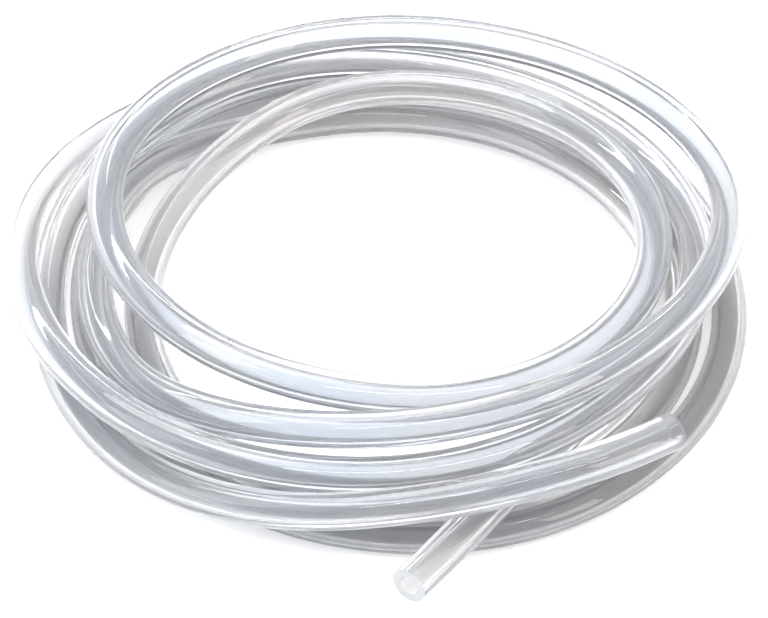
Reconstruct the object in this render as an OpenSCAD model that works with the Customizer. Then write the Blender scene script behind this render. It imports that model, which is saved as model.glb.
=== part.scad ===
// Silicone tubing coil: one length of plain round-bore tubing, cut square at
// both ends and laid up by hand in six uneven turns, with the starting end
// sticking out at the front of the heap.
// Frame: millimetres, +Z up, floor at z = 0, origin under the middle of the
// bounding box, front of the coil towards -Y.

/* [Tubing] */
// outside diameter of the tubing; the whole coil scales with it
tube_od = 8; // [6:0.5:12]
// wall thickness between the bore and the outside
wall = 2; // [1:0.25:2.5]

/* [Ends] */
// length of the straight free end that sticks out at the front
free_end = 79; // [40:1:90]
// angle that the last bend of the inner end turns through
end_bend = 46; // [30:1:46]

/* [Hidden] */
// every length of the route is written for 8 mm tubing and scaled to size
k = tube_od / 8;
bore = tube_od - 2 * wall;
// one bend turns through this angle, so eight bends make a turn
A = 45;
// where the straight end meets the first turn, and the way it runs there
start = [50.9, -36.7, 12.2];
start_heading = 54.5;
// middle of the coil, measured from the origin
middle = [2.16, 8.28, 0.22];
// how strongly a bend is drawn towards its own station
pull = 0.25;
// radius and sideways lean of the last bend
end_r = 90;
end_lean = -0.25;

// Route: eight stations a turn, counted from the straight end: front right,
// right, back right, back, back left, left, front left, front.
// reach: distance from the middle of the coil out to the tubing's centreline
reach = [
    62.8, 60,   62.5, 64,   60.8, 62,   64.5, 71,
    73.5, 76,   76,   73.5, 69.5, 58.5, 60.4, 62.4,
    57.8, 60.5, 62.5, 61,   52.3, 57.2, 63.5, 68,
    67.5, 67,   71.5, 74.5, 67.4, 66.5, 74,   77,
    76.5, 76.5, 80.5, 83,   83.6, 78.2, 79,   74.5,
    70.5, 68,   72.5, 75.5, 74.2, 74.5, 81.2, 83.2,
    80 ];
// rise: height of the tubing's centreline above the floor
rise = [
    12.2, 10.2, 7,    4.6,  12.1, 11.2, 21,   27,
    30,   23,   21,   21.4, 21.6, 24.6, 28.2, 27.3,
    25.4, 20.5, 16,   14.2, 9.4,  5,    4.2,  4,
    4,    4,    4,    4,    4,    4,    4,    4,
    4,    4,    4,    4,    8.2,  14.2, 17.5, 19.3,
    22,   16,   13,   12.8, 10.2, 4,    11.5, 21.3,
    20.5 ];
bends = len(reach) - 2;

function at(v, i) = v[max(0, min(len(v) - 1, i))];
function aim(v, i) = at(v, i) + pull * (2 * at(v, i) - at(v, i - 1) - at(v, i + 1));
function along(v, x) = let (i = floor(x), f = x - i) aim(v, i) * (1 - f) + aim(v, i + 1) * f;
function wrap(a) = a - 360 * floor(a / 360);
// an angle close to a whose sine and cosine both come out at six decimals
function off(c) = let (s = sqrt(1 - c * c) * 1e6) abs(s - round(s));
function snap(a) = let (
    m = abs(a) > 1 ? 12 : 0,
    near = [for (j = [-m:m]) round(cos(a) * 1e6) / 1e6 + j / 1e6],
    miss = [for (c = near) off(c)],
    best = min(miss)
) sign(a) * acos([for (j = [0:2 * m]) if (miss[j] == best) near[j]][0]);

// One bend. State: point, heading, slope, station, the bend's radius, a third
// of the twist in the joint before it, and its roll where it ends.
function bend(q) = let (
    p = q[0], hd = q[1], s = q[2], x = q[3],
    out = [sin(hd + A), -cos(hd + A)],
    r_reach = (along(reach, x + 1) - (p[0] * out[0] + p[1] * out[1])) / (1 - cos(A)),
    r_even = 0.85355 * (along(reach, x - 1) + along(reach, x + 2))
           - 0.35355 * (along(reach, x) + along(reach, x + 1)),
    r = (r_reach + r_even) / 2,
    s_rise = (along(rise, x + 1) - p[2]) / (0.41421 * r) - s,
    s_even = (along(rise, x + 2) - along(rise, x)) / (4 * 0.41421 * r),
    s1 = (s_rise + s_even) / 2,
    lean = (s1 - s * cos(A)) / sin(A),
    cb = sqrt(1 - s * s),
    third = snap((asin(lean / cb) - q[6]) / 3),
    roll = q[6] + 3 * third,
    t = [cb * cos(hd), cb * sin(hd), s],
    n = [-sin(hd), cos(hd), 0] * cos(roll) + [-s * cos(hd), -s * sin(hd), cb] * sin(roll),
    t1 = t * cos(A) + n * sin(A),
    p1 = p + r * (t * sin(A) + n * (1 - cos(A))),
    turn = wrap(atan2(t1[1], t1[0]) - hd),
    lean1 = cb * sin(roll) * cos(A) - s * sin(A)
) [p1, hd + turn, t1[2], x + turn / A, r, third, asin(lean1 / sqrt(1 - t1[2] * t1[2]))];

function run(q, i) = i >= bends ? [] : let (b = bend(q)) concat([b], run(b, i + 1));
route = run([start, start_heading, 0, 0, 0, 0, 0], 0);
last = route[bends - 1];
end_third = snap((asin(end_lean / sqrt(1 - last[2] * last[2])) - last[6]) / 3);
// an eighth of a turn, and the hair's breadth that rounding it costs per mm
EIGHTH = [[0.707107, -0.707107, 0, 0], [0.707107, 0.707106, 0, 0], [0, 0, 1, 0], [0, 0, 0, 1]];
HAIR = 2.94e-8;

// wall of the tubing, cut square across
module ring() {
    difference() {
        circle(d = tube_od, $fn = 48);
        circle(d = bore, $fn = 48);
    }
}

module bent(r, angle) {
    translate([-r, 0, 0]) rotate_extrude(angle = angle, $fn = 96) translate([r, 0]) ring();
}

// leans what follows over about the tubing's own axis, in three equal steps
module leaned(a) {
    rotate([0, a, 0]) rotate([0, a, 0]) rotate([0, a, 0]) children();
}

// bends joined end to end
module turns(i) {
    if (i < bends) {
        r = route[i][4] * k;
        leaned(route[i][5]) {
            bent(r, A);
            translate([-r, 0, 0]) multmatrix(EIGHTH) translate([r, 0, 0]) translate([r * HAIR, 0, 0]) turns(i + 1);
        }
    } else {
        leaned(end_third) bent(end_r * k, end_bend);
    }
}

module tubing() {
    color([0.86, 0.89, 0.92, 0.75])
    translate((start + middle) * k) rotate([0, 0, start_heading - 90]) {
        rotate([90, 0, 0]) difference() {
            cylinder(h = free_end * k, d = tube_od, $fn = 48);
            cylinder(h = free_end * k, d = bore, $fn = 48);
        }
        turns(0);
    }
}

tubing();
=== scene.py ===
import bpy, bmesh, math
from mathutils import Vector, Matrix


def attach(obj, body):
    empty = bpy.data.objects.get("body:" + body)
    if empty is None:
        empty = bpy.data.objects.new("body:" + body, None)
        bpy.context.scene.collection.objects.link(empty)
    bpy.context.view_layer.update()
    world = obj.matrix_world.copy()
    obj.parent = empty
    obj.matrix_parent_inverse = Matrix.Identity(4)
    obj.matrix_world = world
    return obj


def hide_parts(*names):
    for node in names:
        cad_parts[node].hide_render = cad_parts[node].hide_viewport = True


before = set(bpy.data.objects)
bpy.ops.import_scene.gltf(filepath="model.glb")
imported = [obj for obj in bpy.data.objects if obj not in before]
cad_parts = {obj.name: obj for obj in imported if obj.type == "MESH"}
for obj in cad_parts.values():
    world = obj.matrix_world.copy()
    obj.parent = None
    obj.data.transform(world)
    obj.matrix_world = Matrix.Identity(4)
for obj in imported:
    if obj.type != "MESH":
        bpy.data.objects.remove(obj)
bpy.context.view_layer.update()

# ---------------------------------------------------------------- the route
# The same stations and the same rule as the CAD source, in millimetres.
OD, BORE = 8.0, 4.0
FREE_END, END_BEND, END_R, END_LEAN = 79.0, 46.0, 90.0, -0.25
START, START_HEADING = Vector((50.9, -36.7, 12.2)), 54.5
MIDDLE = Vector((2.16, 8.28, 0.22))
PULL = 0.25
REACH = [
    62.8, 60, 62.5, 64, 60.8, 62, 64.5, 71,
    73.5, 76, 76, 73.5, 69.5, 58.5, 60.4, 62.4,
    57.8, 60.5, 62.5, 61, 52.3, 57.2, 63.5, 68,
    67.5, 67, 71.5, 74.5, 67.4, 66.5, 74, 77,
    76.5, 76.5, 80.5, 83, 83.6, 78.2, 79, 74.5,
    70.5, 68, 72.5, 75.5, 74.2, 74.5, 81.2, 83.2,
    80]
RISE = [
    12.2, 10.2, 7, 4.6, 12.1, 11.2, 21, 27,
    30, 23, 21, 21.4, 21.6, 24.6, 28.2, 27.3,
    25.4, 20.5, 16, 14.2, 9.4, 5, 4.2, 4,
    4, 4, 4, 4, 4, 4, 4, 4,
    4, 4, 4, 4, 8.2, 14.2, 17.5, 19.3,
    22, 16, 13, 12.8, 10.2, 4, 11.5, 21.3,
    20.5]
C45 = math.cos(math.radians(45.0))


def aim(v, i):
    g = lambda j: v[max(0, min(len(v) - 1, j))]
    return g(i) + PULL * (2 * g(i) - g(i - 1) - g(i + 1))


def along(v, x):
    i = math.floor(x)
    f = x - i
    return aim(v, i) * (1 - f) + aim(v, i + 1) * f


def snap(a):
    """An angle close to a whose sine and cosine have six decimals, as in the CAD."""
    m = 12 if abs(a) > math.radians(1) else 0
    near = [round(math.cos(a) * 1e6) / 1e6 + j / 1e6 for j in range(-m, m + 1)]
    miss = [abs(math.sqrt(1 - c * c) * 1e6 - round(math.sqrt(1 - c * c) * 1e6)) for c in near]
    return math.copysign(math.acos(near[miss.index(min(miss))]), a)


def bends():
    """Each bend of the tubing: start point, direction, inward normal, radius, angle."""
    out = []
    p, hd, s, x, held = START.copy(), math.radians(START_HEADING), 0.0, 0.0, 0.0
    t = Vector((math.cos(hd), math.sin(hd), 0))
    n = None
    for i in range(len(REACH) - 2):
        cb = math.sqrt(1 - s * s)
        o = (math.sin(hd + math.pi / 4), -math.cos(hd + math.pi / 4))
        r_reach = (along(REACH, x + 1) - (p[0] * o[0] + p[1] * o[1])) / (1 - C45)
        r_even = 0.85355 * (along(REACH, x - 1) + along(REACH, x + 2)) - 0.35355 * (along(REACH, x) + along(REACH, x + 1))
        r = (r_reach + r_even) / 2
        s_rise = (along(RISE, x + 1) - p[2]) / (0.41421 * r) - s
        s_even = (along(RISE, x + 2) - along(RISE, x)) / (4 * 0.41421 * r)
        s1 = (s_rise + s_even) / 2
        lean = (s1 - s * C45) / C45
        roll = held + 3 * snap((math.asin(lean / cb) - held) / 3)
        t = Vector((cb * math.cos(hd), cb * math.sin(hd), s))
        flat = Vector((-math.sin(hd), math.cos(hd), 0))
        up = Vector((-s * math.cos(hd), -s * math.sin(hd), cb))
        n = flat * math.cos(roll) + up * math.sin(roll)
        out.append((p.copy(), t.copy(), n.copy(), r, 45.0))
        lean1 = cb * math.sin(roll) * C45 - s * C45
        p = p + r * (t * C45 + n * (1 - C45))
        t = t * C45 + n * C45
        turn = (math.atan2(t[1], t[0]) - hd) % (2 * math.pi)
        hd, s, x = hd + turn, t[2], x + turn / (math.pi / 4)
        held = math.asin(lean1 / math.sqrt(1 - s * s))
    cb = math.sqrt(1 - s * s)
    roll = held + 3 * snap((math.asin(END_LEAN / cb) - held) / 3)
    flat = Vector((-math.sin(hd), math.cos(hd), 0))
    up = Vector((-s * math.cos(hd), -s * math.sin(hd), cb))
    n = flat * math.cos(roll) + up * math.sin(roll)
    out.append((p.copy(), t.copy(), n.copy(), END_R, END_BEND))
    return out


def centreline(step):
    """Points, directions and one sideways direction along the whole tubing, in mm."""
    hd = math.radians(START_HEADING)
    t = Vector((math.cos(hd), math.sin(hd), 0))
    m = int(math.ceil(FREE_END / step))
    rows = [(START - t * FREE_END * (1 - j / m), t.copy()) for j in range(m)]
    for p, d, n, r, ang in bends():
        a = math.radians(ang)
        m = int(math.ceil(r * a / step))
        for j in range(m):
            q = a * j / m
            rows.append((p + r * (d * math.sin(q) + n * (1 - math.cos(q))), d * math.cos(q) + n * math.sin(q)))
    rows.append((p + r * (d * math.sin(a) + n * (1 - math.cos(a))), d * math.cos(a) + n * math.sin(a)))
    side = Vector((0, 0, 1)).cross(rows[0][1]).normalized()
    full = []
    for c, d in rows:
        d = d.normalized()
        side = (side - d * side.dot(d)).normalized()
        full.append((c + MIDDLE, d, side.copy()))
    return full


# ---------------------------------------------------------------- materials
def new_material(name):
    m = bpy.data.materials.new(name)
    m.use_nodes = True
    nt = m.node_tree
    nt.nodes.clear()
    return m, nt


def node(nt, kind, x=0, y=0, **put):
    n = nt.nodes.new(kind)
    n.location = (x, y)
    for k, v in put.items():
        if hasattr(n, k):
            setattr(n, k, v)
        else:
            n.inputs[k.replace("_", " ")].default_value = v
    return n


def silicone():
    m, nt = new_material("silicone_clear")
    out = node(nt, "ShaderNodeOutputMaterial", 900)
    co = node(nt, "ShaderNodeTexCoord", -900)
    soft = node(nt, "ShaderNodeTexNoise", -650, 200)
    soft.inputs["Scale"].default_value = 22.0
    soft.inputs["Detail"].default_value = 2.0
    nt.links.new(co.outputs["Object"], soft.inputs["Vector"])
    part = node(nt, "ShaderNodeMapRange", -500, 200)
    part.inputs["From Min"].default_value = 0.38
    part.inputs["From Max"].default_value = 0.62
    nt.links.new(soft.outputs["Fac"], part.inputs["Value"])
    tint = node(nt, "ShaderNodeMixRGB", -350, 200)
    tint.inputs["Color1"].default_value = TINT_A
    tint.inputs["Color2"].default_value = TINT_B
    nt.links.new(part.outputs["Result"], tint.inputs["Fac"])
    # painted shade: the turns lying at the bottom of the heap, under the others, are darkened to grey
    sep = node(nt, "ShaderNodeSeparateXYZ", -650, 450)
    nt.links.new(co.outputs["Object"], sep.inputs[0])
    low_shade_mask = node(nt, "ShaderNodeMapRange", -450, 450)
    low_shade_mask.inputs["From Min"].default_value = 0.003
    low_shade_mask.inputs["From Max"].default_value = 0.013
    nt.links.new(sep.outputs["Z"], low_shade_mask.inputs["Value"])
    shade = node(nt, "ShaderNodeMixRGB", -250, 450)
    shade.inputs["Color1"].default_value = LOW_PAINTED_SHADE
    shade.inputs["Color2"].default_value = (1, 1, 1, 1)
    nt.links.new(low_shade_mask.outputs["Result"], shade.inputs["Fac"])
    # painted shade: the highest turns are darkened to blue-grey, and those at the front to grey
    top_shade_mask = node(nt, "ShaderNodeMapRange", -450, 900)
    top_shade_mask.inputs["From Min"].default_value = 0.013
    top_shade_mask.inputs["From Max"].default_value = 0.022
    nt.links.new(sep.outputs["Z"], top_shade_mask.inputs["Value"])
    top_shade = node(nt, "ShaderNodeMixRGB", -220, 800)
    top_shade.inputs["Color2"].default_value = TOP_PAINTED_SHADE
    nt.links.new(top_shade_mask.outputs["Result"], top_shade.inputs["Fac"])
    nt.links.new(shade.outputs["Color"], top_shade.inputs["Color1"])
    # painted shade: darker towards the front of the heap
    front_shade_mask = node(nt, "ShaderNodeMapRange", -450, 700)
    front_shade_mask.inputs["From Min"].default_value = -0.085
    front_shade_mask.inputs["From Max"].default_value = 0.03
    nt.links.new(sep.outputs["Y"], front_shade_mask.inputs["Value"])
    side = node(nt, "ShaderNodeMixRGB", -250, 700)
    side.inputs["Color1"].default_value = FRONT_PAINTED_SHADE
    side.inputs["Color2"].default_value = (1, 1, 1, 1)
    nt.links.new(front_shade_mask.outputs["Result"], side.inputs["Fac"])
    # the painted shades of the highest and the front turns, multiplied together
    painted_shades = node(nt, "ShaderNodeMixRGB", -180, 550, blend_type="MULTIPLY")
    painted_shades.inputs["Fac"].default_value = 1.0
    nt.links.new(top_shade.outputs["Color"], painted_shades.inputs["Color1"])
    nt.links.new(side.outputs["Color"], painted_shades.inputs["Color2"])
    full = node(nt, "ShaderNodeMixRGB", -120, 300, blend_type="MULTIPLY")
    full.inputs["Fac"].default_value = 1.0
    nt.links.new(tint.outputs["Color"], full.inputs["Color1"])
    nt.links.new(painted_shades.outputs["Color"], full.inputs["Color2"])
    fine = node(nt, "ShaderNodeTexNoise", -650, -100)
    fine.inputs["Scale"].default_value = 160.0
    fine.inputs["Detail"].default_value = 3.0
    nt.links.new(co.outputs["Object"], fine.inputs["Vector"])
    rough = node(nt, "ShaderNodeMapRange", -350, -100)
    rough.inputs["To Min"].default_value = 0.015
    rough.inputs["To Max"].default_value = 0.06
    nt.links.new(fine.outputs["Fac"], rough.inputs["Value"])
    clear = node(nt, "ShaderNodeBsdfPrincipled", 0, 200)
    clear.inputs["Transmission Weight"].default_value = 1.0
    clear.inputs["IOR"].default_value = 1.41
    nt.links.new(full.outputs["Color"], clear.inputs["Base Color"])
    nt.links.new(rough.outputs["Result"], clear.inputs["Roughness"])
    milk = node(nt, "ShaderNodeBsdfTranslucent", 0, -250)
    milk.inputs["Color"].default_value = MILK
    skin = node(nt, "ShaderNodeBsdfDiffuse", 0, -400)
    skin.inputs["Color"].default_value = MILK
    cloud = node(nt, "ShaderNodeMixShader", 300, -300)
    cloud.inputs["Fac"].default_value = 0.5
    nt.links.new(milk.outputs[0], cloud.inputs[1])
    nt.links.new(skin.outputs[0], cloud.inputs[2])
    mix = node(nt, "ShaderNodeMixShader", 600, 0)
    mix.inputs["Fac"].default_value = MILKINESS
    nt.links.new(clear.outputs[0], mix.inputs[1])
    nt.links.new(cloud.outputs[0], mix.inputs[2])
    nt.links.new(mix.outputs[0], out.inputs["Surface"])
    return m


def cut_face():
    m, nt = new_material("silicone_cut")
    out = node(nt, "ShaderNodeOutputMaterial", 600)
    co = node(nt, "ShaderNodeTexCoord", -600)
    grain = node(nt, "ShaderNodeTexNoise", -400)
    grain.inputs["Scale"].default_value = 600.0
    nt.links.new(co.outputs["Object"], grain.inputs["Vector"])
    ramp = node(nt, "ShaderNodeMixRGB", -150)
    ramp.inputs["Color1"].default_value = (0.60, 0.62, 0.64, 1)
    ramp.inputs["Color2"].default_value = (0.78, 0.79, 0.80, 1)
    nt.links.new(grain.outputs["Fac"], ramp.inputs["Fac"])
    b = node(nt, "ShaderNodeBsdfPrincipled", 150)
    b.inputs["Roughness"].default_value = 0.4
    b.inputs["Transmission Weight"].default_value = 0.5
    b.inputs["IOR"].default_value = 1.41
    nt.links.new(ramp.outputs["Color"], b.inputs["Base Color"])
    nt.links.new(b.outputs[0], out.inputs["Surface"])
    return m


TINT_A = (0.945, 0.96, 0.978, 1)
TINT_B = (1.0, 0.982, 0.96, 1)
# painted shade for the turns at the bottom of the heap
LOW_PAINTED_SHADE = (0.60, 0.60, 0.615, 1)
# painted shade for the turns at the front
FRONT_PAINTED_SHADE = (0.87, 0.88, 0.89, 1)
# painted blue-grey shade for the highest turns
TOP_PAINTED_SHADE = (0.80, 0.83, 0.87, 1)
MILK = (0.88, 0.875, 0.875, 1)
MILKINESS = 0.18


# ---------------------------------------------------------------- the tubing
def tube_mesh(rows, n_out=32, n_in=24):
    verts, faces, mats, smooth = [], [], [], []
    rings = []
    for c, d, s in rows:
        u = d.cross(s)
        outer, inner = [], []
        for i in range(n_out):
            a = 2 * math.pi * i / n_out
            outer.append(len(verts))
            verts.append((c + (s * math.cos(a) + u * math.sin(a)) * OD / 2) / 1000)
        for i in range(n_in):
            a = 2 * math.pi * i / n_in
            inner.append(len(verts))
            verts.append((c + (s * math.cos(a) + u * math.sin(a)) * BORE / 2) / 1000)
        rings.append((outer, inner))
    for (o0, i0), (o1, i1) in zip(rings, rings[1:]):
        for i in range(n_out):
            j = (i + 1) % n_out
            faces.append((o0[i], o0[j], o1[j], o1[i])); mats.append(0); smooth.append(True)
        for i in range(n_in):
            j = (i + 1) % n_in
            faces.append((i0[i], i1[i], i1[j], i0[j])); mats.append(0); smooth.append(True)
    # square-cut ends: a flat ring between the outside and the bore
    for (o, i_), first in ((rings[0], True), (rings[-1], False)):
        a = b = 0
        while a < n_out or b < n_in:
            if b == n_in or (a < n_out and (a + 1) / n_out <= (b + 1) / n_in):
                tri = (o[a % n_out], i_[b % n_in], o[(a + 1) % n_out]); a += 1
            else:
                tri = (o[a % n_out], i_[b % n_in], i_[(b + 1) % n_in]); b += 1
            faces.append(tri if first else tri[::-1]); mats.append(1); smooth.append(False)
    me = bpy.data.meshes.new("silicone_tube")
    me.from_pydata([tuple(v) for v in verts], [], faces)
    me.polygons.foreach_set("material_index", mats)
    me.polygons.foreach_set("use_smooth", smooth)
    me.update()
    bm = bmesh.new(); bm.from_mesh(me)
    bmesh.ops.recalc_face_normals(bm, faces=bm.faces)
    for e in bm.edges:
        if len(e.link_faces) == 2 and e.link_faces[0].material_index != e.link_faces[1].material_index:
            e.smooth = False
    bm.to_mesh(me); bm.free()
    return me


rows = centreline(2.6)
me = tube_mesh(rows)
me.materials.append(silicone())
me.materials.append(cut_face())
tube = bpy.data.objects.new("silicone_tube", me)
bpy.context.scene.collection.objects.link(tube)
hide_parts("tubing")
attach(tube, "root")
length = sum((rows[i + 1][0] - rows[i][0]).length for i in range(len(rows) - 1)) / 1000
print("tubing length %.3f m" % length)

# ---------------------------------------------------------------- studio
floor_me = bpy.data.meshes.new("studio_floor")
R = 3.0
floor_me.from_pydata([(-R, -R, 0), (R, -R, 0), (R, R, 0), (-R, R, 0)], [], [(0, 1, 2, 3)])
floor = bpy.data.objects.new("studio_floor", floor_me)
floor.location = (0, 0, -0.0004)
bpy.context.scene.collection.objects.link(floor)
fm, nt = new_material("studio_floor")
out = node(nt, "ShaderNodeOutputMaterial", 600)
dif = node(nt, "ShaderNodeBsdfDiffuse", 0)
dif.inputs["Color"].default_value = (0.93, 0.935, 0.94, 1)
glow = node(nt, "ShaderNodeEmission", 0, -150)
glow.inputs["Color"].default_value = (1, 1, 1, 1)
glow.inputs["Strength"].default_value = 0.5
add = node(nt, "ShaderNodeAddShader", 300)
nt.links.new(dif.outputs[0], add.inputs[0])
nt.links.new(glow.outputs[0], add.inputs[1])
nt.links.new(add.outputs[0], out.inputs["Surface"])
floor_me.materials.append(fm)

world = bpy.data.worlds.new("studio_world")
bpy.context.scene.world = world
world.use_nodes = True
wn = world.node_tree
wn.nodes.clear()
wout = node(wn, "ShaderNodeOutputWorld", 600)
bg = node(wn, "ShaderNodeBackground", 350)
wco = node(wn, "ShaderNodeTexCoord", -600)
sep = node(wn, "ShaderNodeSeparateXYZ", -400)
wn.links.new(wco.outputs["Generated"], sep.inputs[0])
ramp = node(wn, "ShaderNodeValToRGB", -150)
ramp.color_ramp.elements[0].position = 0.0
ramp.color_ramp.elements[0].color = (0.02, 0.022, 0.026, 1)
ramp.color_ramp.elements[1].position = 0.9
ramp.color_ramp.elements[1].color = (0.95, 0.96, 1.0, 1)
e = ramp.color_ramp.elements.new(0.25); e.color = (0.07, 0.075, 0.085, 1)
e = ramp.color_ramp.elements.new(0.55); e.color = (0.50, 0.54, 0.60, 1)
wn.links.new(sep.outputs["Z"], ramp.inputs["Fac"])
wn.links.new(ramp.outputs["Color"], bg.inputs["Color"])
bg.inputs["Strength"].default_value = 0.95
wn.links.new(bg.outputs[0], wout.inputs["Surface"])


def softbox(name, loc, size, power, color=(1, 1, 1), aim_at=(0, 0, 0.01)):
    d = bpy.data.lights.new(name, "AREA")
    d.shape = "RECTANGLE"
    d.size, d.size_y = size
    d.energy = power
    d.color = color
    o = bpy.data.objects.new(name, d)
    o.location = loc
    o.rotation_euler = (Vector(aim_at) - Vector(loc)).to_track_quat("-Z", "Y").to_euler()
    bpy.context.scene.collection.objects.link(o)
    return o


softbox("key_top", (-0.25, 0.35, 1.0), (0.9, 0.6), 13.0)
softbox("fill_left", (-1.0, -0.3, 0.6), (0.5, 0.8), 4.0, (0.93, 0.96, 1.0))
softbox("warm_right", (0.9, -0.7, 0.45), (0.4, 0.5), 4.0, (1.0, 0.88, 0.78))
softbox("strip_front", (0.1, -0.55, 0.85), (1.1, 0.05), 3.0)
softbox("strip_back", (-0.35, 0.75, 0.6), (0.9, 0.05), 3.0)

# ---------------------------------------------------------------- camera
ELEV, DIST = 40.5, 1.0
cam_d = bpy.data.cameras.new("camera")
cam_d.sensor_width = 36.0
cam_d.sensor_fit = "HORIZONTAL"
cam_d.lens = 36.0 * 4500 / 768
cam_d.clip_start = 0.05
cam_d.clip_end = 20
cam = bpy.data.objects.new("camera", cam_d)
target = Vector((MIDDLE.x, MIDDLE.y, MIDDLE.z)) / 1000
cam.location = target + Vector((0, -math.cos(math.radians(ELEV)), math.sin(math.radians(ELEV)))) * DIST
cam.rotation_euler = (target - cam.location).to_track_quat("-Z", "Y").to_euler()
bpy.context.scene.collection.objects.link(cam)
bpy.context.scene.camera = cam

sc = bpy.context.scene
sc.view_settings.view_transform = "Standard"
sc.view_settings.look = "None"
sc.cycles.max_bounces = 28
sc.cycles.transmission_bounces = 28
sc.cycles.glossy_bounces = 6
sc.cycles.diffuse_bounces = 3
sc.cycles.transparent_max_bounces = 8
sc.cycles.caustics_refractive = True
sc.cycles.caustics_reflective = False
sc.cycles.sample_clamp_indirect = 4.0
